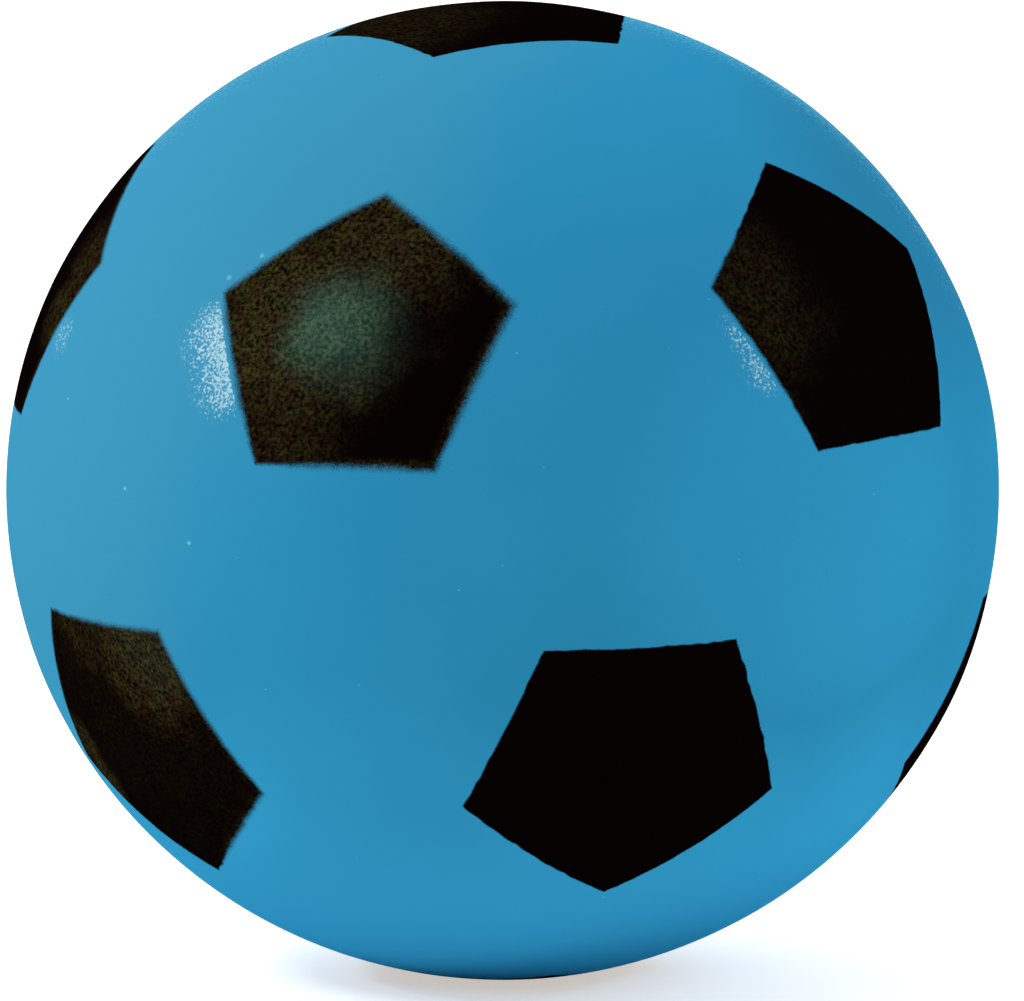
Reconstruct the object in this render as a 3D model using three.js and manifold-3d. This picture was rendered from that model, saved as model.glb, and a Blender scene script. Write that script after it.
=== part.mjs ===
// Soft play ball: a moulded foam core under a thin elastic skin, coated in two colours.
// The blue coat leaves twelve five-sided windows, and a black patch fills each window flush.
// It lies on the floor, sunk a little under its own weight, so it is wider than it is tall.
// Millimetres, +Z up, origin at the centre of the ball. One patch of the upper ring faces -Y.

import * as THREE from "three";
import { mergeVertices } from "three/addons/utils/BufferGeometryUtils.js";
import Module from "manifold-3d";

// Driving dimensions
const BALL_DIAMETER = 200;
const SKIN_THICKNESS = 1.5;
const PENTAGON_SIDE = 39;
const SINK = 3;
const REST_DEPTH = 0.5;

// Clearances: between the black patches and their windows, and between the skin and the core
const PATCH_GAP = 0.3;
const CORE_GAP = 0.3;

// Length of the flat facets that the round surfaces are made of
const FACET_LENGTH = 9;

// Layout of the twelve patches: a pole, and a ring of five a tilt away from it, on each half
const SIDES = 5;
const SIDE_ANGLE = (2 * Math.PI) / SIDES;
const RING_TILT = Math.atan(2);

// Radii from the outside in
const ballRadius = BALL_DIAMETER / 2;
const skinInnerRadius = ballRadius - SKIN_THICKNESS;
const coreRadius = skinInnerRadius - CORE_GAP;

// How the round ball sinks at rest: every height shrinks by the same share
const heightShare = 1 - SINK / BALL_DIAMETER;
const sinking = new THREE.Matrix4().makeScale(1, 1, heightShare);

// Corners of a patch lie on the ball, so its edges are cut by planes through the centre
const patchCornerRadius = PENTAGON_SIDE / (2 * Math.sin(SIDE_ANGLE / 2));
const cornerAngle = Math.asin(patchCornerRadius / ballRadius);
const sideAngle = Math.atan(Math.tan(cornerAngle) * Math.cos(SIDE_ANGLE / 2));

const blueCoat = new THREE.MeshStandardMaterial({ color: 0x2f8fbd, roughness: 0.4, metalness: 0 });
const blackCoat = new THREE.MeshStandardMaterial({ color: 0x0b0908, roughness: 0.65, metalness: 0 });
const softFoam = new THREE.MeshStandardMaterial({ color: 0xe6dfc8, roughness: 0.95, metalness: 0 });

const wasm = await Module();
wasm.setup();

// A solid for cutting and joining, from a closed three.js geometry
function toSolid(geometry) {
  const bare = geometry.clone();
  bare.deleteAttribute("normal");
  bare.deleteAttribute("uv");
  const welded = mergeVertices(bare);
  return new wasm.Manifold(
    new wasm.Mesh({
      numProp: 3,
      vertProperties: new Float32Array(welded.attributes.position.array),
      triVerts: new Uint32Array(welded.index.array),
    }),
  );
}

// The three.js geometry of a finished solid
function toGeometry(solid) {
  const { numProp, vertProperties, triVerts } = solid.getMesh();
  const positions = new Float32Array((vertProperties.length / numProp) * 3);
  for (let i = 0; i < positions.length / 3; i += 1) {
    positions.set(vertProperties.subarray(i * numProp, i * numProp + 3), i * 3);
  }
  const geometry = new THREE.BufferGeometry();
  geometry.setAttribute("position", new THREE.BufferAttribute(positions, 3));
  geometry.setIndex(new THREE.BufferAttribute(new Uint32Array(triVerts), 1));
  geometry.computeVertexNormals();
  return geometry;
}

// A round ball whose facets have the same symmetry as the patches, with a corner at each pole
function roundBall(radius) {
  const edgeLength = ballRadius / Math.sin(SIDE_ANGLE);
  const segments = Math.max(1, Math.round(edgeLength / FACET_LENGTH));
  const geometry = new THREE.IcosahedronGeometry(radius, segments - 1);
  const goldenRatio = (1 + Math.sqrt(5)) / 2;
  geometry.rotateX(Math.atan(1 / goldenRatio));
  return toSolid(geometry);
}

// The same ball with the underside that the floor presses flat
function pressedBall(radius) {
  const floor = new THREE.BoxGeometry(BALL_DIAMETER, BALL_DIAMETER, BALL_DIAMETER);
  floor.translate(0, 0, REST_DEPTH / heightShare - radius - ballRadius);
  return roundBall(radius).subtract(toSolid(floor));
}

// Five-sided pyramid from the ball's centre out through its underside, each side moved out by margin
function patchPyramid(margin) {
  const height = BALL_DIAMETER;
  const pyramid = new THREE.ConeGeometry(height * Math.tan(cornerAngle), height, SIDES, 1, false, Math.PI);
  pyramid.rotateX(Math.PI / 2);
  pyramid.translate(0, 0, margin / Math.sin(sideAngle) - height / 2);
  return pyramid;
}

// One black patch on the underside: the part of a shell that lies inside the pyramid
function blackPatch(makeBall) {
  const shell = makeBall(ballRadius).subtract(makeBall(skinInnerRadius));
  return toGeometry(shell.intersect(toSolid(patchPyramid(0))));
}

// Blue skin: a shell all round the core with a window for every patch
function blueSkin(turns) {
  const window = patchPyramid(PATCH_GAP);
  let skin = pressedBall(ballRadius).subtract(pressedBall(skinInnerRadius));
  for (const turn of turns) {
    skin = skin.subtract(toSolid(window.clone().applyMatrix4(turn)));
  }
  return toGeometry(skin);
}

// Turns that bring a patch from the underside to the pole of one half and to the ring of five around it
function halfTurns(flip) {
  const poleTurn = new THREE.Matrix4().makeRotationX(flip);
  const turns = [poleTurn];
  for (let k = 0; k < SIDES; k += 1) {
    const tilt = new THREE.Euler(-RING_TILT, 0, (k + 0.5) * SIDE_ANGLE, "ZXY");
    turns.push(new THREE.Matrix4().makeRotationFromEuler(tilt).premultiply(poleTurn));
  }
  return turns;
}

const ball = new THREE.Group();

// One named piece of the ball, sunk with the rest of it
function addPiece(name, geometry, coat) {
  const piece = new THREE.Mesh(geometry.applyMatrix4(sinking), coat);
  piece.name = name;
  ball.add(piece);
}

// Six patches of one half: the one at the pole, and the ring of five
function addPatches(poleName, poleGeometry, ringName, ringGeometry, turns) {
  const [poleTurn, ...ringTurns] = turns;
  addPiece(poleName, poleGeometry.clone().applyMatrix4(poleTurn), blackCoat);
  ringTurns.forEach((turn, k) => {
    addPiece(`${ringName}_${k + 1}`, ringGeometry.clone().applyMatrix4(turn), blackCoat);
  });
}

const lowerTurns = halfTurns(0);
const upperTurns = halfTurns(Math.PI);
const freePatch = blackPatch(roundBall);
const pressedPatch = blackPatch(pressedBall);
addPatches("bottom_pentagon", pressedPatch, "lower_pentagon", freePatch, lowerTurns);
addPatches("top_pentagon", freePatch, "upper_pentagon", freePatch, upperTurns);
addPiece("blue_skin", blueSkin([...lowerTurns, ...upperTurns]), blueCoat);
addPiece("foam_core", toGeometry(pressedBall(coreRadius)), softFoam);

export default ball;
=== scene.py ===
"""Soft play ball: a foam core under a thin elastic coat, blue with black patches, on a white floor."""

import math
from functools import reduce

import bpy
import numpy as np
from bpy.props import FloatProperty, FloatVectorProperty, IntProperty, PointerProperty
from mathutils import Matrix, Vector


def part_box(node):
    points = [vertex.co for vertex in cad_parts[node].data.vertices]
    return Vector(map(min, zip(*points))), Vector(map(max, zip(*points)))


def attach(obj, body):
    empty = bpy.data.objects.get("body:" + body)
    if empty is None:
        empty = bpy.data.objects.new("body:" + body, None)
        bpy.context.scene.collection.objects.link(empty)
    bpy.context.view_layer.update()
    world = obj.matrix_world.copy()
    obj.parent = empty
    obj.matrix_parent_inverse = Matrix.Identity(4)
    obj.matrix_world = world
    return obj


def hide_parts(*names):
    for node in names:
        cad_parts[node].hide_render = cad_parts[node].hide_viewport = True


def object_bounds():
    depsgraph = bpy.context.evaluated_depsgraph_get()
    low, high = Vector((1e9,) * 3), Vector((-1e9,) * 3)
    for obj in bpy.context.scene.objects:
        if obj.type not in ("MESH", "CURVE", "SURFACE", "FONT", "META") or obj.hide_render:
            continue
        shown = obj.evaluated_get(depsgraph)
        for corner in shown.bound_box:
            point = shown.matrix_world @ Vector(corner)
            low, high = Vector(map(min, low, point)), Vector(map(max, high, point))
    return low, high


bl_info = {
    "name": "Soft Play Ball",
    "version": (1, 0, 0),
    "blender": (4, 5, 0),
    "location": "3D View > Sidebar > Play Ball",
    "description": "Models a coated foam ball with football patches, and a plain studio around it",
    "category": "Add Mesh",
}

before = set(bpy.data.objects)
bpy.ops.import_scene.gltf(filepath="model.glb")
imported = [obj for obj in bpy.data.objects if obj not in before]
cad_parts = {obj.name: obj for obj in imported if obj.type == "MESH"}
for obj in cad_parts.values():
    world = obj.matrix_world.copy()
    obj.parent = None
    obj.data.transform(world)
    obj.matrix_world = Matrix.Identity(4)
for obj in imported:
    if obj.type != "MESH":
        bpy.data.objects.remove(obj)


def width_of(node):
    """Width of a solid along X."""
    low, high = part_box(node)
    return high.x - low.x


# Layout of the patches: twelve pentagons, each at the same angle from its five neighbours
SIDES = 5
SIDE_ANGLE = 2 * math.pi / SIDES
NEIGHBOUR_ANGLE = math.atan(2)
GOLDEN_RATIO = (1 + math.sqrt(5)) / 2
PATCH_NODES = sorted(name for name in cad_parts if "pentagon" in name)

# Measures of the solid model, in metres; a pentagon is its side times the golden ratio wide
MODEL_LOW, MODEL_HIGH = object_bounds()
BALL_DIAMETER = MODEL_HIGH.x - MODEL_LOW.x
HEIGHT_SHARE = MODEL_HIGH.z / (BALL_DIAMETER / 2)
FLOOR_HEIGHT = MODEL_LOW.z
CORE_DIAMETER = width_of("foam_core")
PATCH_SIDE = width_of("top_pentagon") / GOLDEN_RATIO

# The photograph's frame, and the middle and half width of the ball's outline in it, in pixels
PHOTO_WIDTH = 1024
PHOTO_HEIGHT = 1001
OUTLINE_CENTRE = (502.8, 490.4)
OUTLINE_RADIUS = 496.6

# How the masks lay for the patches in view: moved right and up, in metres, and the size of their opening
MASK_PLAY = {
    "top_pentagon": (-0.0006, -0.0026, 0.99),
    "upper_pentagon_2": (-0.0020, 0.0004, 1.015),
    "upper_pentagon_3": (0.0016, -0.0009, 0.965),
    "upper_pentagon_4": (0.0023, 0.0013, 1.0),
    "lower_pentagon_1": (-0.0003, -0.0002, 1.015),
    "lower_pentagon_2": (0.0030, -0.0010, 0.95),
    "lower_pentagon_5": (0.0005, 0.0009, 1.005),
    "bottom_pentagon": (-0.0010, -0.0028, 0.95),
}

# Places on the ball: turn from the front and height in degrees, radius in metres, and strength
# Thin ink and painted light on the black: the ink is thin here, and its olive and brown grains also stand
# for light from the lamps on the patches and for the floor's reflection along one limb
THIN_AND_LIT_PLACES = (
    (-7.0, 27.5, 0.030, 1.0),
    (2.0, 38.0, 0.026, 0.8),
    (-9.0, 15.0, 0.022, 0.5),
    (-27.0, -11.5, 0.026, 0.8),
    (-30.0, -22.0, 0.050, 0.10),
    (-39.0, -10.0, 0.016, 0.5),
    (-52.1, -27.3, 0.009, 0.8),
    (-51.2, -31.5, 0.009, 0.8),
    (53.5, 28.5, 0.024, 0.35),
    (-50.5, 74.7, 0.032, 0.3),
    (-52.8, 30.9, 0.015, 0.6),
    (-55.5, 23.7, 0.012, 0.6),
    (-112.0, -22.0, 0.028, 0.6),
    (-140.0, 30.0, 0.030, 0.6),
    (148.0, 22.0, 0.024, 0.4),
    (178.0, -30.0, 0.030, 0.5),
)
MISTY_PLACES = (
    (3.0, 27.0, 0.055, 1.0),
    (-30.0, -22.0, 0.050, 0.7),
    (-57.0, 30.5, 0.045, 0.7),
    (53.0, 24.5, 0.030, 0.3),
    (-140.0, 30.0, 0.050, 0.6),
    (178.0, -30.0, 0.050, 0.5),
)
SHEEN_PLACES = (
    (0.2, 26.4, 0.0178, 1.05),
    (-26.0, -11.0, 0.015, 0.3),
)
# Painted highlights: pale grains where the small spark lamps catch the blue beside the black
HIGHLIGHT_PLACES = (
    (-17.7, 24.2, 0.0122, 0.92),
    (-15.9, 20.7, 0.0115, 0.92),
    (52.8, 24.7, 0.0080, 0.5),
    (53.9, 21.0, 0.0080, 0.5),
    (-50.5, 21.5, 0.0060, 0.35),
)
# Painted glints: pale dots where small bumps in the skin catch the light
GLINT_DOT_PLACES = (
    (-18.6, 0.9, 0.0006, 1.0),
    (-29.0, 6.2, 0.0006, 1.0),
    (-15.4, 35.0, 0.0009, 1.0),
    (-19.5, 31.9, 0.0009, 0.9),
)

# The rim of such a place: how ragged it is, and where its full strength starts, as shares of its radius
RIM_RAGGEDNESS = 0.6
FULL_STRENGTH = 0.3

# Painted light: the blue is paler and warmer towards the upper left, where the warm key lamp falls; the
# direction of that side, and where the painted light starts and ends along it
WARM_LIT_SIDE = Vector((-0.85, 0.0, 0.52))
WARM_LIT_BAND = (0.20, 0.65)

# Painted shade: the blue is darker towards the upper right limb; the direction of that side, and where the
# painted shade starts and is full along it
PAINTED_SHADE_SIDE = Vector((0.77, 0.23, 0.60))
PAINTED_SHADE_BAND = (0.85, 1.0)

# Painted light: the blue is lighter towards the front right; the direction of the middle of that area, and
# where the painted light starts and is full along it
PAINTED_LIT_SIDE = Vector((0.86, -0.51, 0.03))
PAINTED_LIT_BAND = (0.85, 1.0)

# Widths of single features of the finishes, in metres
DRIFT_SIZE = 0.05
RAGGED_SIZE = 0.012
PEEL_SIZE = 0.004
LIT_TONE_SIZE = 0.003
DUST_SIZE = 0.0012
FOAM_DENT_SIZE = 0.004
FOAM_CELLS_PER_METRE = 900

# Widths of the finest features, in grains of the skin
PORE_GRAINS = 1.4
SPECKLE_GRAINS = 2.0
MIST_GRAINS = 0.8
STRAY_GRAINS = 8

# Depths of the relief in the finishes, in metres, and the peel's depth as a share of the grain's
SOFT_RELIEF = 0.00004
HARD_RELIEF = 0.00008
FOAM_RELIEF = 0.0004
PEEL_DEPTH = 0.6

# Levels of a noise that make up a feature: none of it at the first, all of it at the second
DRIFT_LEVELS = (0.3, 0.7)
DUST_LEVELS = (0.90, 0.94)
HIGHLIGHT_LEVELS = (0.58, 0.88)
FUZZ_LEVELS = (0.68, 0.86)
GLOSS_LEVELS = (0.80, 0.88)
SPECKLE_LEVELS = (0.30, 0.78)
LIT_TONE_LEVELS = (0.4, 0.6)
CELL_LEVELS = (0.2, 0.6)
SOFT_START = (0.0, 0.3)

# How far the drift bends the painted light on the left and upper side and the painted light low down, and
# how strong the single features are
WARM_LIT_DRIFT = 0.3
UNDERSIDE_LIT_DRIFT = 0.02
PAINTED_SHADE_STRENGTH = 0.5
PAINTED_LIT_STRENGTH = 0.35
SPECK_STRENGTH = 0.5
HIGHLIGHT_STRENGTH = 0.18
EDGE_HIGHLIGHT_STRENGTH = 0.12
FUZZ_STRENGTH = 0.25
THIN_RIM_STRENGTH = 0.6
SHEEN_STRENGTH = 0.05
LEAST_SHEEN = 0.0012

# Where light is painted into the blue towards the underside, which the floor shades, and where the fuzz
# sets in: heights in metres, and how far the surface turns away
UNDERSIDE_LIT_BAND = (-0.010, -0.075)
FUZZ_BAND = (0.02, 0.06)
FUZZ_FACING = (0.68, 0.95)

# Distances from the edge of the black, in metres; inside it they are negative
HIGHLIGHT_START = (0.0006, 0.0011)
HIGHLIGHT_FALL = (0.010, 0.001)
THIN_RIM = (-0.0030, -0.0005)
THIN_SHRINK = 0.0003

# The edge of the black, in widths of its mist: its reach, how much more it is in misty places, and its mist
SHARP_REACH = 0.5
MISTY_REACH = 3
MIST_DEPTH = 1.5

# Lamps: turn to the right of the camera and height in degrees, width in metres, and colour
KEY_LAMP = (-54, 42, 0.6, (1.0, 0.94, 0.88))
LEFT_SPARK_LAMP = (-75, 29, 0.15, (1, 1, 1))
RIGHT_SPARK_LAMP = (81, 24, 0.15, (1, 1, 1))
LAMP_DISTANCE = 3
FLOOR_SIZE = 40

# Names of the border attribute and of the two slots on the patterned ball
BORDER = "border_distance"
BLUE_SLOT, BLACK_SLOT = 0, 1

# Seed of the stray points along a patch, and the bend from which an edge stays sharp
WOBBLE_SEED = 7
SHARP_BEND = math.radians(40)


# Settings

class BallSizes(bpy.types.PropertyGroup):
    """Sizes of the ball and of its pattern"""

    diameter: FloatProperty(
        name="Diameter", description="Outside diameter of the ball",
        default=BALL_DIAMETER, min=0.05, unit="LENGTH", precision=4)
    height_share: FloatProperty(
        name="Height share", description="Height of the resting ball as a share of its width",
        default=HEIGHT_SHARE, min=0.8, max=1.0, precision=3)
    core_diameter: FloatProperty(
        name="Core diameter", description="Diameter of the foam core inside the skin",
        default=CORE_DIAMETER, min=0.04, unit="LENGTH", precision=4)
    skin_thickness: FloatProperty(
        name="Skin thickness", description="Thickness of the elastic coat",
        default=0.0015, min=0.0002, unit="LENGTH", precision=4)
    patch_side: FloatProperty(
        name="Patch side", description="Straight distance between two corners of a black patch",
        default=PATCH_SIDE, min=0.01, unit="LENGTH", precision=4)
    floor_height: FloatProperty(
        name="Floor height", description="Height of the floor that presses the underside flat",
        default=FLOOR_HEIGHT, unit="LENGTH", precision=4)
    unevenness: FloatProperty(
        name="Unevenness", description="How far the soft surface swells and dips",
        default=0.0003, min=0, unit="LENGTH", precision=5)
    swell_size: FloatProperty(
        name="Swell size", description="Width of one swell or dip in the surface",
        default=0.03, min=0.005, unit="LENGTH", precision=4)
    edge_wobble: FloatProperty(
        name="Edge wobble", description="How far the masked edge of a patch strays from its line",
        default=0.0002, min=0, unit="LENGTH", precision=5)
    cuts: IntProperty(
        name="Cuts", description="Cuts along each side of a patch",
        default=23, min=3, max=40)


class CoatLook(bpy.types.PropertyGroup):
    """Colours and grain of the coat and the foam"""

    blue: FloatVectorProperty(
        name="Blue", description="Blue of the skin", subtype="COLOR", size=4,
        default=(0.025, 0.275, 0.512, 1), min=0, max=1)
    deep_blue: FloatVectorProperty(
        name="Deep blue", description="Darker drift of the blue", subtype="COLOR", size=4,
        default=(0.023, 0.262, 0.495, 1), min=0, max=1)
    # Painted light: a paler, warmer blue on the left and upper side, where the warm key lamp falls
    warm_lit_blue: FloatVectorProperty(
        name="Painted warm light", description="Blue painted paler and warmer as light on the left and upper side", subtype="COLOR", size=4,
        default=(0.042, 0.285, 0.485, 1), min=0, max=1)
    # Painted shade: a darker blue at the upper right limb
    painted_shade_blue: FloatVectorProperty(
        name="Painted shade", description="Blue painted paler and warmer as light on the left and upper side least", subtype="COLOR", size=4,
        default=(0.022, 0.175, 0.320, 1), min=0, max=1)
    # Painted light: a lighter blue towards the underside and the front right
    painted_lit_blue: FloatVectorProperty(
        name="Painted light", description="Blue painted lighter as light towards the underside and the front right",
        subtype="COLOR", size=4,
        default=(0.043, 0.425, 0.775, 1), min=0, max=1)
    # Painted highlight: pale grains where the spark lamps catch the blue
    highlight_blue: FloatVectorProperty(
        name="Painted highlight", description="Pale grains where the skin is rubbed", subtype="COLOR", size=4,
        default=(0.40, 0.65, 0.77, 1), min=0, max=1)
    # Used both for dust specks and for painted glints on small bumps
    speck: FloatVectorProperty(
        name="Speck", description="Tiny pale specks in the blue, and painted glints", subtype="COLOR", size=4,
        default=(0.220, 0.730, 1.000, 1), min=0, max=1)
    black: FloatVectorProperty(
        name="Black", description="Black of the patches", subtype="COLOR", size=4,
        default=(0.0020, 0.0005, 0.0005, 1), min=0, max=1)
    # Olive and brown grains in the black: partly thin ink, partly painted light where the lamps fall on it
    olive: FloatVectorProperty(
        name="Olive speckle", description="Pale grains in the black, partly painted light", subtype="COLOR", size=4,
        default=(0.055, 0.051, 0.013, 1), min=0, max=1)
    brown: FloatVectorProperty(
        name="Brown speckle", description="Brown grains in the black, partly painted light", subtype="COLOR", size=4,
        default=(0.047, 0.029, 0.013, 1), min=0, max=1)
    foam: FloatVectorProperty(
        name="Foam", description="Walls of the foam's cells", subtype="COLOR", size=4,
        default=(0.80, 0.74, 0.58, 1), min=0, max=1)
    # Painted shade: a darker foam in the depths of the cells
    foam_shade: FloatVectorProperty(
        name="Foam shade", description="Painted shade in the depths of the foam's cells", subtype="COLOR", size=4,
        default=(0.440, 0.407, 0.319, 1), min=0, max=1)
    grain_size: FloatProperty(
        name="Grain size", description="Width of one grain in the skin's surface",
        default=0.0004, min=0.0001, unit="LENGTH", precision=5)
    edge_mist: FloatProperty(
        name="Edge mist", description="Half width of the misty edge of the black",
        default=0.0004, min=0.0001, unit="LENGTH", precision=5)


class StudioLook(bpy.types.PropertyGroup):
    """Camera, lamps and floor"""

    azimuth: FloatProperty(
        name="Azimuth", description="Turn of the camera round the ball from the front",
        default=math.radians(19.77), subtype="ANGLE")
    elevation: FloatProperty(
        name="Elevation", description="Height of the camera above the horizon",
        default=math.radians(8.18), subtype="ANGLE")
    roll: FloatProperty(
        name="Roll", description="Turn of the camera about its own axis",
        default=math.radians(-0.78), subtype="ANGLE")
    distance: FloatProperty(
        name="Distance", description="From the camera to the middle of the ball",
        default=4.0, min=0.5, unit="LENGTH")
    key_power: FloatProperty(
        name="Key", description="Power of the warm lamp, front left and high",
        default=33.0, min=0, unit="POWER")
    left_spark: FloatProperty(
        name="Left spark", description="Power of the small bright lamp on the left",
        default=11.0, min=0, unit="POWER")
    right_spark: FloatProperty(
        name="Right spark", description="Power of the small bright lamp on the right",
        default=3.0, min=0, unit="POWER")
    left_level: FloatProperty(
        name="Left light", description="Brightness of the soft light from the left",
        default=0.66, min=0)
    right_level: FloatProperty(
        name="Right light", description="Brightness of the soft light from the right",
        default=1.5, min=0)
    back_level: FloatProperty(
        name="Back light", description="Brightness of the soft light from high behind",
        default=1.35, min=0)
    sky_level: FloatProperty(
        name="Sky", description="Brightness of the even light all round",
        default=0.04, min=0)
    paper: FloatVectorProperty(
        name="Paper", description="Colour of the floor", subtype="COLOR", size=4,
        default=(0.95, 0.92, 0.88, 1), min=0, max=1)
    glow: FloatVectorProperty(
        name="Glow", description="Colour that the floor shows besides the light on it",
        subtype="COLOR", size=4, default=(1.0, 0.94, 0.89, 1), min=0, max=1)
    floor_lift: FloatProperty(
        name="Floor lift", description="Brightness that the floor shows besides the light on it",
        default=0.55, min=0)


def pointing(turn, height):
    """Unit vector at a turn to the right from the front, and a height above the horizon."""
    flat = math.cos(height)
    return Vector((math.sin(turn) * flat, -math.cos(turn) * flat, math.sin(height)))


# Modelling helpers

def deselect():
    """Select nothing, in object mode."""
    if bpy.context.object and bpy.context.object.mode != "OBJECT":
        bpy.ops.object.mode_set(mode="OBJECT")
    bpy.ops.object.select_all(action="DESELECT")


def activate(piece):
    """Select one piece alone and make it the active one."""
    deselect()
    piece.select_set(True)
    bpy.context.view_layer.objects.active = piece


def apply_modifier(piece, kind, **settings):
    """Add a modifier with its settings and apply it."""
    modifier = piece.modifiers.new(kind.title(), kind)
    for name, value in settings.items():
        setattr(modifier, name, value)
    bpy.ops.object.modifier_apply(modifier=modifier.name)


def points_of(piece):
    """All vertices of a piece as an array."""
    points = np.empty(len(piece.data.vertices) * 3)
    piece.data.vertices.foreach_get("co", points)
    return points.reshape(-1, 3)


def edit_points(piece, chosen):
    """Enter edit mode with only the chosen vertices selected."""
    bpy.ops.object.mode_set(mode="EDIT")
    bpy.ops.mesh.select_mode(type="VERT")
    bpy.ops.mesh.select_all(action="DESELECT")
    bpy.ops.object.mode_set(mode="OBJECT")
    piece.data.vertices.foreach_set("select", chosen)
    bpy.ops.object.mode_set(mode="EDIT")


def rest(piece, height_share, floor_height):
    """Let a round piece sink under its own weight, and press its underside flat on the floor."""
    bpy.ops.transform.resize(value=(1, 1, height_share))
    bpy.ops.object.transform_apply(location=False, rotation=False, scale=True)
    edit_points(piece, points_of(piece)[:, 2] < floor_height)
    bpy.ops.transform.resize(value=(1, 1, 0), center_override=(0, 0, floor_height))
    bpy.ops.object.mode_set(mode="OBJECT")


def swell(piece, depth, width):
    """Swell and dip the surface gently, without a pattern."""
    clouds = bpy.data.textures.new("Soft swells", "CLOUDS")
    clouds.noise_scale = width
    clouds.noise_depth = 1
    apply_modifier(piece, "DISPLACE", texture=clouds, strength=depth, mid_level=0.5, texture_coords="LOCAL")


# The patterned ball

def corner_cut(sizes):
    """How far along each edge of the icosahedron a patch reaches from its corner."""
    radius = sizes.diameter / 2
    edge_length = radius / math.sin(SIDE_ANGLE)
    patch_radius = sizes.patch_side / (2 * math.sin(SIDE_ANGLE / 2))
    patch_angle = math.asin(patch_radius / radius)
    near = math.sin(NEIGHBOUR_ANGLE - patch_angle)
    far = math.sin(patch_angle)
    return edge_length * far / (near + far)


def nearest_patch(middle):
    """Name of the solid patch that lies nearest to a point."""
    return min(PATCH_NODES, key=lambda node: (sum(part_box(node), Vector()) / 2 - middle).length)


def pentagons_of(ball):
    """The faces of the cut icosahedron that become patches."""
    return [face for face in ball.data.polygons if face.loop_total == SIDES]


def lay_masks(ball):
    """Move and size the pentagons in view as their masks lay on the ball."""
    corners = {nearest_patch(face.center): list(face.vertices) for face in pentagons_of(ball)}
    for node, (right, up, size) in MASK_PLAY.items():
        chosen = np.isin(np.arange(len(ball.data.vertices)), corners[node])
        middle = Vector(points_of(ball)[chosen].mean(axis=0))
        on_pole = math.hypot(middle.x, middle.y) < abs(middle.z) / 2
        turn = 0.0 if on_pole else math.atan2(middle.x, -middle.y)
        east = Vector((math.cos(turn), math.sin(turn), 0))
        north = middle.normalized().cross(east)
        shift = east * right + north * up
        edit_points(ball, chosen)
        bpy.ops.transform.translate(value=shift)
        bpy.ops.transform.resize(value=(size, size, size), center_override=middle + shift)
        bpy.ops.object.mode_set(mode="OBJECT")


def border_planes(ball):
    """Outward normals of the planes through the ball's middle that bound each pentagon."""
    planes = []
    for face in pentagons_of(ball):
        corners = np.array([ball.data.vertices[i].co for i in face.vertices])
        normals = np.cross(np.roll(corners, -1, axis=0), corners)
        planes.append(normals / np.linalg.norm(normals, axis=1, keepdims=True))
    return np.array(planes)


def measure_border(ball, planes):
    """Store how far each vertex lies outside the nearest patch; inside a patch the distance is negative."""
    points = points_of(ball)
    radii = np.linalg.norm(points, axis=1)
    height = np.einsum("pkc,vc->vpk", planes, points / radii[:, None]).max(axis=2).min(axis=1)
    distance = radii * np.arcsin(height)
    slots = np.zeros((len(points), 2), bool)
    for face in ball.data.polygons:
        slots[list(face.vertices), face.material_index] = True
    distance[slots.all(axis=1)] = 0
    attribute = ball.data.attributes.new(BORDER, "FLOAT", "POINT")
    attribute.data.foreach_set("value", distance.astype(np.float32))


def patterned_ball(sizes, blue_coat, black_coat):
    """A fine soft ball, whose pentagons have the black coat and whose hexagons have the blue."""
    radius = sizes.diameter / 2
    deselect()
    bpy.ops.mesh.primitive_ico_sphere_add(subdivisions=1, radius=radius, rotation=(0, 0, -math.pi / 2))
    ball = bpy.context.object
    bpy.ops.object.transform_apply(location=False, rotation=True, scale=False)
    ball.data.materials.append(blue_coat)
    ball.data.materials.append(black_coat)

    bpy.ops.object.mode_set(mode="EDIT")
    bpy.ops.mesh.select_all(action="SELECT")
    bpy.ops.mesh.bevel(
        offset=corner_cut(sizes), offset_type="OFFSET", affect="VERTICES", clamp_overlap=False)
    bpy.ops.mesh.select_mode(type="FACE")
    bpy.ops.mesh.select_all(action="DESELECT")
    bpy.ops.mesh.select_face_by_sides(number=SIDES, extend=False)
    ball.active_material_index = BLACK_SLOT
    bpy.ops.object.material_slot_assign()
    bpy.ops.object.mode_set(mode="OBJECT")
    lay_masks(ball)
    planes = border_planes(ball)

    bpy.ops.object.mode_set(mode="EDIT")
    bpy.ops.mesh.select_mode(type="FACE")
    bpy.ops.mesh.select_all(action="SELECT")
    bpy.ops.mesh.poke()
    bpy.ops.mesh.subdivide(number_cuts=sizes.cuts)
    bpy.ops.mesh.select_all(action="DESELECT")
    bpy.ops.object.material_slot_select()
    bpy.ops.mesh.region_to_loop()
    bpy.ops.transform.vertex_random(offset=sizes.edge_wobble, seed=WOBBLE_SEED)
    bpy.ops.object.mode_set(mode="OBJECT")

    apply_modifier(ball, "CAST", cast_type="SPHERE", factor=1.0, size=radius, use_radius_as_size=False)
    measure_border(ball, planes)
    swell(ball, sizes.unevenness, sizes.swell_size)
    rest(ball, sizes.height_share, sizes.floor_height)
    return ball


def keep_slot(ball, slot):
    """Delete the faces that don't have this material slot."""
    bpy.ops.object.mode_set(mode="EDIT")
    bpy.ops.mesh.select_mode(type="FACE")
    bpy.ops.mesh.select_all(action="DESELECT")
    ball.active_material_index = slot
    bpy.ops.object.material_slot_select()
    bpy.ops.mesh.select_all(action="INVERT")
    bpy.ops.mesh.delete(type="FACE")
    bpy.ops.object.mode_set(mode="OBJECT")
    bpy.ops.object.material_slot_remove_unused()


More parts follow.
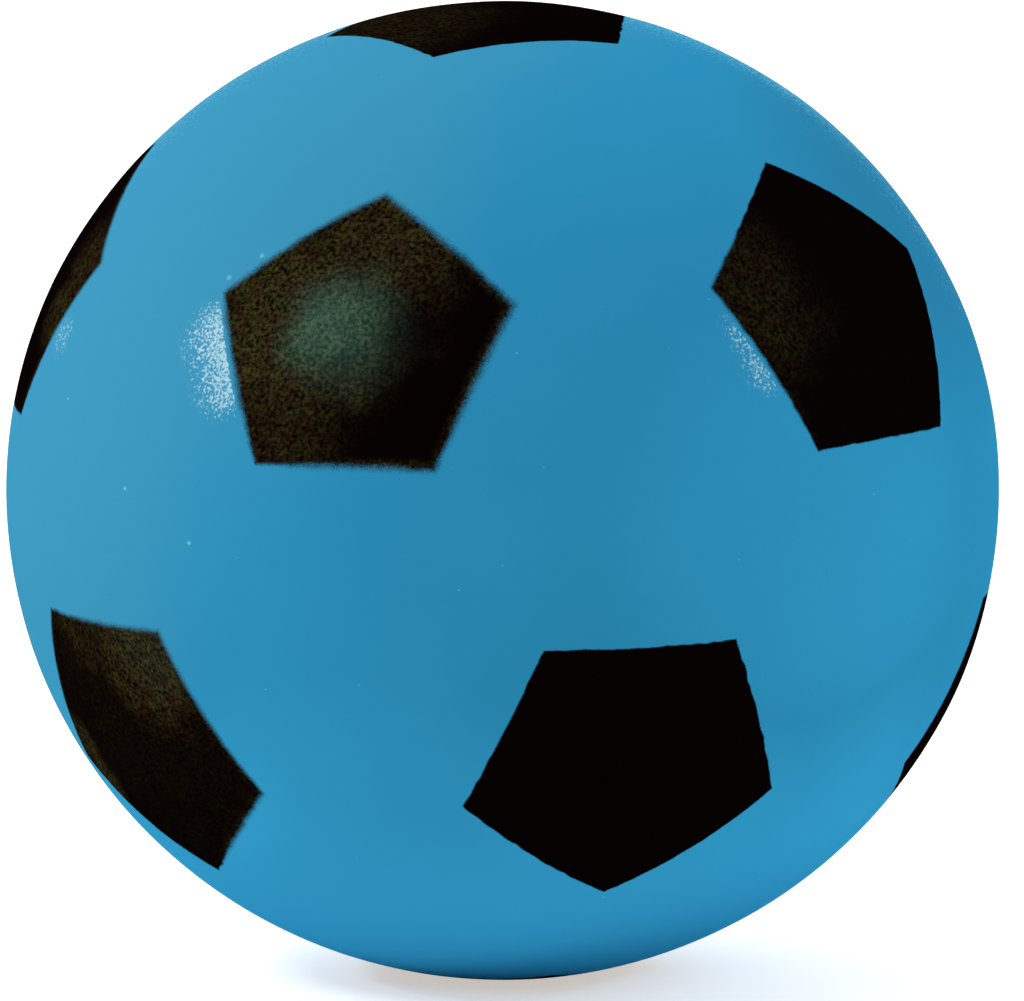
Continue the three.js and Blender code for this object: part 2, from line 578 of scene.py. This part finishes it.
def thicken(piece, thickness):
    """Give a surface its wall, inwards, and smooth all but the rim."""
    activate(piece)
    apply_modifier(piece, "SOLIDIFY", thickness=thickness, offset=-1)
    bpy.ops.object.shade_smooth_by_angle(angle=SHARP_BEND)


def hand_over(piece, name, node):
    """Name a finished piece and let it stand for a solid of the model."""
    piece.name = name
    piece.data.name = name
    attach(piece, "root")
    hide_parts(node)


# Shading helpers

class Wire:
    """A socket of a node tree. Arithmetic on wires adds Math nodes."""

    def __init__(self, tree, socket=None):
        self.tree = tree
        self.socket = socket

    def node(self, kind, settings=None, inputs=None, output=0):
        """Add a node, set it up, give or link its inputs, and return the wire from one of its outputs."""
        made = self.tree.nodes.new(kind)
        for name, value in (settings or {}).items():
            setattr(made, name, value)
        for name, value in (inputs or {}).items():
            if isinstance(value, Wire):
                self.tree.links.new(value.socket, made.inputs[name])
            else:
                made.inputs[name].default_value = value
        return Wire(self.tree, made.outputs[output] if made.outputs else None)

    def math(self, operation, first, second):
        """A Math node with two inputs."""
        return self.node("ShaderNodeMath", {"operation": operation}, {0: first, 1: second})

    def __add__(self, other):
        return self.math("ADD", self, other)

    __radd__ = __add__

    def __sub__(self, other):
        return self.math("SUBTRACT", self, other)

    def __rsub__(self, other):
        return self.math("SUBTRACT", other, self)

    def __mul__(self, other):
        return self.math("MULTIPLY", self, other)

    __rmul__ = __mul__

    def __neg__(self):
        return self * -1

    def larger(self, other):
        """The larger of this value and another."""
        return self.math("MAXIMUM", self, other)

    def measure(self, operation, other):
        """A value, such as a distance, from this vector and another."""
        inputs = {0: self, 1: other}
        return self.node("ShaderNodeVectorMath", {"operation": operation}, inputs, output="Value")

    def noise(self, size, detail=1.0, roughness=0.5):
        """Noise over the coordinates in this wire, with features of a size in metres, from 0 to 1."""
        inputs = {"Vector": self, "Scale": 1 / size, "Detail": detail, "Roughness": roughness}
        return self.node("ShaderNodeTexNoise", {"normalize": True}, inputs)

    def ramp(self, start, end):
        """0 at start, 1 at end, and a smooth step between."""
        inputs = {"Value": self, "From Min": start, "From Max": end}
        return self.node("ShaderNodeMapRange", {"interpolation_type": "SMOOTHSTEP"}, inputs)

    def mix(self, first, second):
        """Colour mixed from first to second by the share in this wire."""
        return self.node("ShaderNodeMix", {"data_type": "RGBA"}, {0: self, 6: first, 7: second}, output=2)

    def blend(self, first, second):
        """Shader mixed from first to second by the share in this wire."""
        return self.node("ShaderNodeMixShader", inputs={0: self, 1: first, 2: second})


def empty_tree(owner):
    """Clear the node tree of a material or a world, and start a wire in it."""
    owner.use_nodes = True
    owner.node_tree.nodes.clear()
    return Wire(owner.node_tree)


# Finishes

def share_of(place, places):
    """How much a point belongs to some places: full strength in their middle, 0 past the ragged rim."""
    ragged = place.noise(RAGGED_SIZE, detail=2) - 0.5
    shares = []
    for turn, height, radius, strength in places:
        middle = pointing(math.radians(turn), math.radians(height)) * BALL_DIAMETER / 2
        away = place.measure("DISTANCE", middle) + ragged * radius * RIM_RAGGEDNESS
        shares.append(away.ramp(radius, radius * FULL_STRENGTH) * strength)
    return reduce(Wire.larger, shares)


def along(place, side):
    """How far a point lies towards a side: 1 in its middle, and 0 a quarter turn away."""
    return place.measure("DOT_PRODUCT", side / (BALL_DIAMETER / 2))


def blue_colour(place, border, height, pores, look):
    """Blue that drifts, with painted light on the left and upper side, towards the front right and towards
    the underside, painted shade at the upper right limb, pale specks, painted glints, and pale grains that
    paint highlights.
    """
    drift = place.noise(DRIFT_SIZE, detail=2)
    # Painted light: paler, warmer blue on the left and upper side
    warm_lit = (along(place, WARM_LIT_SIDE) + drift * WARM_LIT_DRIFT).ramp(*WARM_LIT_BAND)
    # Painted shade: darker blue towards the upper right limb
    painted_shade = along(place, PAINTED_SHADE_SIDE).ramp(*PAINTED_SHADE_BAND) * PAINTED_SHADE_STRENGTH
    # Painted light: lighter blue towards the front right and towards the underside, which the floor shades
    light = along(place, PAINTED_LIT_SIDE).ramp(*PAINTED_LIT_BAND) * PAINTED_LIT_STRENGTH
    low = (height + drift * UNDERSIDE_LIT_DRIFT).ramp(*UNDERSIDE_LIT_BAND)
    drifting = drift.ramp(*DRIFT_LEVELS).mix(look.blue, look.deep_blue)
    lit_and_shaded_blue = painted_shade.mix(warm_lit.mix(drifting, look.warm_lit_blue), look.painted_shade_blue)
    clean = low.larger(light).mix(lit_and_shaded_blue, look.painted_lit_blue)
    # Dust specks, and painted glints on small bumps
    specks = place.noise(DUST_SIZE, detail=0).ramp(*DUST_LEVELS).larger(share_of(place, GLINT_DOT_PLACES))
    specked = (specks * SPECK_STRENGTH).mix(clean, look.speck)
    # Painted highlight: pale grains where the spark lamps catch the blue, densest close beside the black
    highlighted = share_of(place, HIGHLIGHT_PLACES) * border.ramp(*HIGHLIGHT_START)
    highlighting = highlighted * (border.ramp(*HIGHLIGHT_FALL) * EDGE_HIGHLIGHT_STRENGTH + HIGHLIGHT_STRENGTH)
    painted_highlight = (pores + highlighting).ramp(*HIGHLIGHT_LEVELS) * highlighted.ramp(*SOFT_START)
    return painted_highlight.mix(specked, look.highlight_blue)


def blue_finish(place, border, look):
    """Matt blue with a few glossy grains, and fuzzy along the upper limb."""
    height = place.node("ShaderNodeSeparateXYZ", inputs={0: place}, output="Z")
    pores = place.noise(PORE_GRAINS * look.grain_size)
    blue = blue_colour(place, border, height, pores, look)
    grain = place.noise(look.grain_size, detail=2, roughness=0.6)
    skin = grain + place.noise(PEEL_SIZE) * PEEL_DEPTH
    soft = place.node("ShaderNodeBump", inputs={"Strength": 1.0, "Distance": SOFT_RELIEF, "Height": skin})
    hard = place.node("ShaderNodeBump", inputs={"Strength": 1.0, "Distance": HARD_RELIEF, "Height": grain})
    matt = place.node("ShaderNodeBsdfPrincipled", inputs={
        "Base Color": blue,
        "Roughness": 0.8,
        "Specular IOR Level": 0.0,
        "Normal": soft,
    })
    gloss = place.node("ShaderNodeBsdfPrincipled", inputs={
        "Base Color": blue,
        "Roughness": 0.18,
        "IOR": 2.5,
        "Specular Tint": (0.65, 0.92, 1.0, 1),
        "Normal": hard,
    })
    fuzz = place.node("ShaderNodeBsdfPrincipled", inputs={
        "Base Color": blue,
        "Roughness": 0.8,
        "Specular IOR Level": 0.0,
        "Sheen Weight": 0.8,
        "Sheen Roughness": 0.3,
        "Sheen Tint": (0.30, 0.80, 1.0, 1),
        "Normal": hard,
    })
    facing = place.node("ShaderNodeLayerWeight", inputs={"Blend": 0.5}, output="Facing")
    limb = facing.ramp(*FUZZ_FACING) * height.ramp(*FUZZ_BAND)
    fuzzy = (pores + limb * FUZZ_STRENGTH).ramp(*FUZZ_LEVELS) * limb.ramp(*SOFT_START)
    return pores.ramp(*GLOSS_LEVELS).blend(fuzzy.blend(matt, fuzz), gloss)


def black_finish(place, thin, look):
    """Dense black; where it lies thin and where light is painted on it, olive and brown grains show through
    a faint sheen.
    """
    grain = place.noise(SPECKLE_GRAINS * look.grain_size, detail=2, roughness=0.6)
    speckle = grain.ramp(*SPECKLE_LEVELS)
    # Olive and brown grains: partly thin ink, partly painted light where the lamps fall on the black
    lit_tone = place.noise(LIT_TONE_SIZE, detail=2).ramp(*LIT_TONE_LEVELS).mix(look.olive, look.brown)
    ink = (speckle * thin).mix(look.black, lit_tone)
    matt = place.node("ShaderNodeBsdfPrincipled", inputs={
        "Base Color": ink,
        "Roughness": 0.9,
        "Specular IOR Level": 0.0,
    })
    sheen = place.node("ShaderNodeBsdfPrincipled", inputs={
        "Base Color": ink,
        "Roughness": 0.38,
        "IOR": 2.5,
        "Specular Tint": (0.24, 1.0, 0.76, 1),
    })
    shine = share_of(place, SHEEN_PLACES) * SHEEN_STRENGTH + LEAST_SHEEN
    return ((speckle + 1) * shine).blend(matt, sheen)


def coat_material(name, look):
    """Blue, and black sprayed on through a mask, with a misty edge where it lies thin; both carry painted
    light, and the blue painted shade.
    """
    material = bpy.data.materials.new(name)
    start = empty_tree(material)
    place = start.node("ShaderNodeTexCoord", output="Object")
    border = start.node("ShaderNodeAttribute", {"attribute_name": BORDER}, output="Fac")
    misty = share_of(place, MISTY_PLACES)
    # Where the black lies thin; its grains there are partly painted light
    thin = share_of(place, THIN_AND_LIT_PLACES).larger(misty * border.ramp(*THIN_RIM) * THIN_RIM_STRENGTH)
    mist = place.noise(MIST_GRAINS * look.grain_size) - 0.5
    stray = place.noise(STRAY_GRAINS * look.grain_size) - 0.5
    reach = (misty * MISTY_REACH + SHARP_REACH) * look.edge_mist
    edge = border + thin * THIN_SHRINK + mist * reach * MIST_DEPTH + stray * look.edge_mist
    blue = blue_finish(place, border, look)
    black = black_finish(place, thin, look)
    start.node("ShaderNodeOutputMaterial", inputs={"Surface": edge.ramp(reach, -reach).blend(blue, black)})
    return material


def coat_pair(look):
    """Materials of the skin and the patches, made once. Each has both colours, for the misty edge."""
    names = ("Blue coat", "Black coat")
    return [bpy.data.materials.get(name) or coat_material(name, look) for name in names]


def foam_material(name, look):
    """Pale open-cell foam, with painted shade in the depths of its cells."""
    material = bpy.data.materials.new(name)
    start = empty_tree(material)
    place = start.node("ShaderNodeTexCoord", output="Object")
    cells = {"Vector": place, "Scale": FOAM_CELLS_PER_METRE}
    wall = start.node("ShaderNodeTexVoronoi", inputs=cells, output="Distance").ramp(*CELL_LEVELS)
    relief = start.node("ShaderNodeBump", inputs={"Strength": 1.0, "Distance": FOAM_RELIEF, "Height": wall})
    foam = start.node("ShaderNodeBsdfPrincipled", inputs={
        "Base Color": wall.mix(look.foam_shade, look.foam),
        "Roughness": 0.95,
        "Normal": relief,
    })
    start.node("ShaderNodeOutputMaterial", inputs={"Surface": foam})
    return material


# Operators for the pieces of the ball

class PLAYBALL_OT_foam_core(bpy.types.Operator):
    """Model the foam core inside the skin"""

    bl_idname = "playball.foam_core"
    bl_label = "Foam Core"
    bl_options = {"REGISTER", "UNDO"}

    def execute(self, context):
        sizes = context.scene.play_ball_sizes
        deselect()
        bpy.ops.mesh.primitive_ico_sphere_add(subdivisions=6, radius=sizes.core_diameter / 2)
        core = bpy.context.object
        core.data.materials.append(foam_material("Foam", context.scene.play_ball_coat))
        swell(core, sizes.unevenness, FOAM_DENT_SIZE)
        core_gap = (sizes.diameter - sizes.core_diameter) / 2
        rest(core, sizes.height_share, sizes.floor_height + core_gap * sizes.height_share)
        bpy.ops.object.shade_smooth()
        hand_over(core, "foam_ball", "foam_core")
        return {"FINISHED"}


class PLAYBALL_OT_blue_skin(bpy.types.Operator):
    """Model the blue skin with its twelve windows"""

    bl_idname = "playball.blue_skin"
    bl_label = "Blue Skin"
    bl_options = {"REGISTER", "UNDO"}

    def execute(self, context):
        sizes = context.scene.play_ball_sizes
        skin = patterned_ball(sizes, *coat_pair(context.scene.play_ball_coat))
        keep_slot(skin, BLUE_SLOT)
        thicken(skin, sizes.skin_thickness)
        hand_over(skin, "blue_coat", "blue_skin")
        return {"FINISHED"}


class PLAYBALL_OT_black_patches(bpy.types.Operator):
    """Model the twelve black patches that fill the windows of the skin"""

    bl_idname = "playball.black_patches"
    bl_label = "Black Patches"
    bl_options = {"REGISTER", "UNDO"}

    def execute(self, context):
        sizes = context.scene.play_ball_sizes
        patches = patterned_ball(sizes, *coat_pair(context.scene.play_ball_coat))
        keep_slot(patches, BLACK_SLOT)
        bpy.ops.object.mode_set(mode="EDIT")
        bpy.ops.mesh.separate(type="LOOSE")
        bpy.ops.object.mode_set(mode="OBJECT")
        for patch in list(bpy.context.selected_objects):
            node = nearest_patch(Vector(points_of(patch).mean(axis=0)))
            thicken(patch, sizes.skin_thickness)
            hand_over(patch, node + "_coat", node)
        return {"FINISHED"}


# The studio

def camera_axes(studio):
    """Right, up and back directions of the camera."""
    back = pointing(studio.azimuth, studio.elevation)
    right = Vector((math.cos(studio.azimuth), math.sin(studio.azimuth), 0))
    up = back.cross(right)
    turn = Matrix.Rotation(studio.roll, 3, back)
    return turn @ right, turn @ up, back


def add_camera(sizes, studio):
    """A long lens that sees the ball's outline where the photograph has it."""
    right, up, back = camera_axes(studio)
    metres_per_pixel = sizes.diameter / 2 / OUTLINE_RADIUS
    aim = right * (PHOTO_WIDTH / 2 - OUTLINE_CENTRE[0]) - up * (PHOTO_HEIGHT / 2 - OUTLINE_CENTRE[1])
    place = aim * metres_per_pixel + back * studio.distance
    turned = Matrix((right, up, back)).transposed().to_euler()
    bpy.ops.object.camera_add(location=place, rotation=turned)
    camera = bpy.context.object
    camera.name = "Photo camera"
    camera.data.lens = camera.data.sensor_width * studio.distance / (metres_per_pixel * PHOTO_WIDTH)
    bpy.context.scene.camera = camera


def add_lamp(name, lamp, power, studio):
    """A square lamp that is aimed at the ball."""
    turn, height, width, colour = lamp
    towards = pointing(studio.azimuth + math.radians(turn), math.radians(height))
    turned = towards.to_track_quat("Z", "Y").to_euler()
    bpy.ops.object.light_add(type="AREA", location=towards * LAMP_DISTANCE, rotation=turned)
    bpy.context.object.name = name
    light = bpy.context.object.data
    light.size = width
    light.energy = power
    light.color = colour


def floor_material(name, studio):
    """White floor that keeps the ball's shadow where it is seen."""
    material = bpy.data.materials.new(name)
    start = empty_tree(material)
    kinds = ("Is Camera Ray", "Is Glossy Ray", "Is Transmission Ray")
    camera, glossy, through = (start.node("ShaderNodeLightPath", output=kind) for kind in kinds)
    strength = (camera + glossy + through) * studio.floor_lift
    paper = start.node("ShaderNodeBsdfDiffuse", inputs={"Color": studio.paper})
    glow = start.node("ShaderNodeEmission", inputs={"Color": studio.glow, "Strength": strength})
    floor = start.node("ShaderNodeAddShader", inputs={0: paper, 1: glow})
    start.node("ShaderNodeOutputMaterial", inputs={"Surface": floor})
    return material


def light_world(studio):
    """Soft light from the left, the right and behind, seen as white."""
    world = bpy.data.worlds.new("Studio")
    bpy.context.scene.world = world
    start = empty_tree(world)
    direction = start.node("ShaderNodeTexCoord", output="Generated")
    light = studio.sky_level
    # Turn to the right of the camera and height in degrees, and brightness
    sides = (
        (-90, 0, studio.left_level),
        (90, 0, studio.right_level),
        (180, 50, studio.back_level),
    )
    for turn, height, level in sides:
        side = pointing(studio.azimuth + math.radians(turn), math.radians(height))
        lit = direction.measure("DOT_PRODUCT", side).larger(0.0)
        light = lit * lit * level + light
    seen = start.node("ShaderNodeLightPath", output="Is Camera Ray")
    strength = light * (1 - seen) + seen
    background = start.node("ShaderNodeBackground", inputs={"Color": (1, 1, 1, 1), "Strength": strength})
    start.node("ShaderNodeOutputWorld", inputs={"Surface": background})


class PLAYBALL_OT_studio(bpy.types.Operator):
    """Lay the floor, and set the camera, the lamps and the world"""

    bl_idname = "playball.studio"
    bl_label = "Studio"
    bl_options = {"REGISTER", "UNDO"}

    def execute(self, context):
        sizes = context.scene.play_ball_sizes
        studio = context.scene.play_ball_studio
        deselect()
        bpy.ops.mesh.primitive_plane_add(size=FLOOR_SIZE, location=(0, 0, sizes.floor_height))
        floor = bpy.context.object
        floor.name = "floor"
        floor.data.materials.append(floor_material("White floor", studio))
        add_camera(sizes, studio)
        add_lamp("Key lamp", KEY_LAMP, studio.key_power, studio)
        add_lamp("Left spark lamp", LEFT_SPARK_LAMP, studio.left_spark, studio)
        add_lamp("Right spark lamp", RIGHT_SPARK_LAMP, studio.right_spark, studio)
        light_world(studio)
        context.scene.view_settings.view_transform = "Standard"
        return {"FINISHED"}


class PLAYBALL_PT_panel(bpy.types.Panel):
    """Sidebar panel with the settings and the steps"""

    bl_idname = "PLAYBALL_PT_panel"
    bl_label = "Soft Play Ball"
    bl_space_type = "VIEW_3D"
    bl_region_type = "UI"
    bl_category = "Play Ball"

    def draw(self, context):
        layout = self.layout
        for group in SETTINGS:
            settings = getattr(context.scene, group)
            box = layout.box()
            for name in settings.__annotations__:
                box.prop(settings, name)
        for step in STEPS:
            layout.operator(step.bl_idname)


STEPS = (
    PLAYBALL_OT_foam_core,
    PLAYBALL_OT_blue_skin,
    PLAYBALL_OT_black_patches,
    PLAYBALL_OT_studio,
)
SETTINGS = {
    "play_ball_sizes": BallSizes,
    "play_ball_coat": CoatLook,
    "play_ball_studio": StudioLook,
}
CLASSES = (*SETTINGS.values(), *STEPS, PLAYBALL_PT_panel)


def register():
    """Register the classes and hang the settings on the scene."""
    for cls in CLASSES:
        bpy.utils.register_class(cls)
    for name, cls in SETTINGS.items():
        setattr(bpy.types.Scene, name, PointerProperty(type=cls))


def unregister():
    """Undo what register did."""
    for name in SETTINGS:
        delattr(bpy.types.Scene, name)
    for cls in reversed(CLASSES):
        bpy.utils.unregister_class(cls)


def main():
    """Build the ball and its studio."""
    register()
    bpy.ops.playball.foam_core()
    bpy.ops.playball.blue_skin()
    bpy.ops.playball.black_patches()
    bpy.ops.playball.studio()


if __name__ == "__main__":
    main()
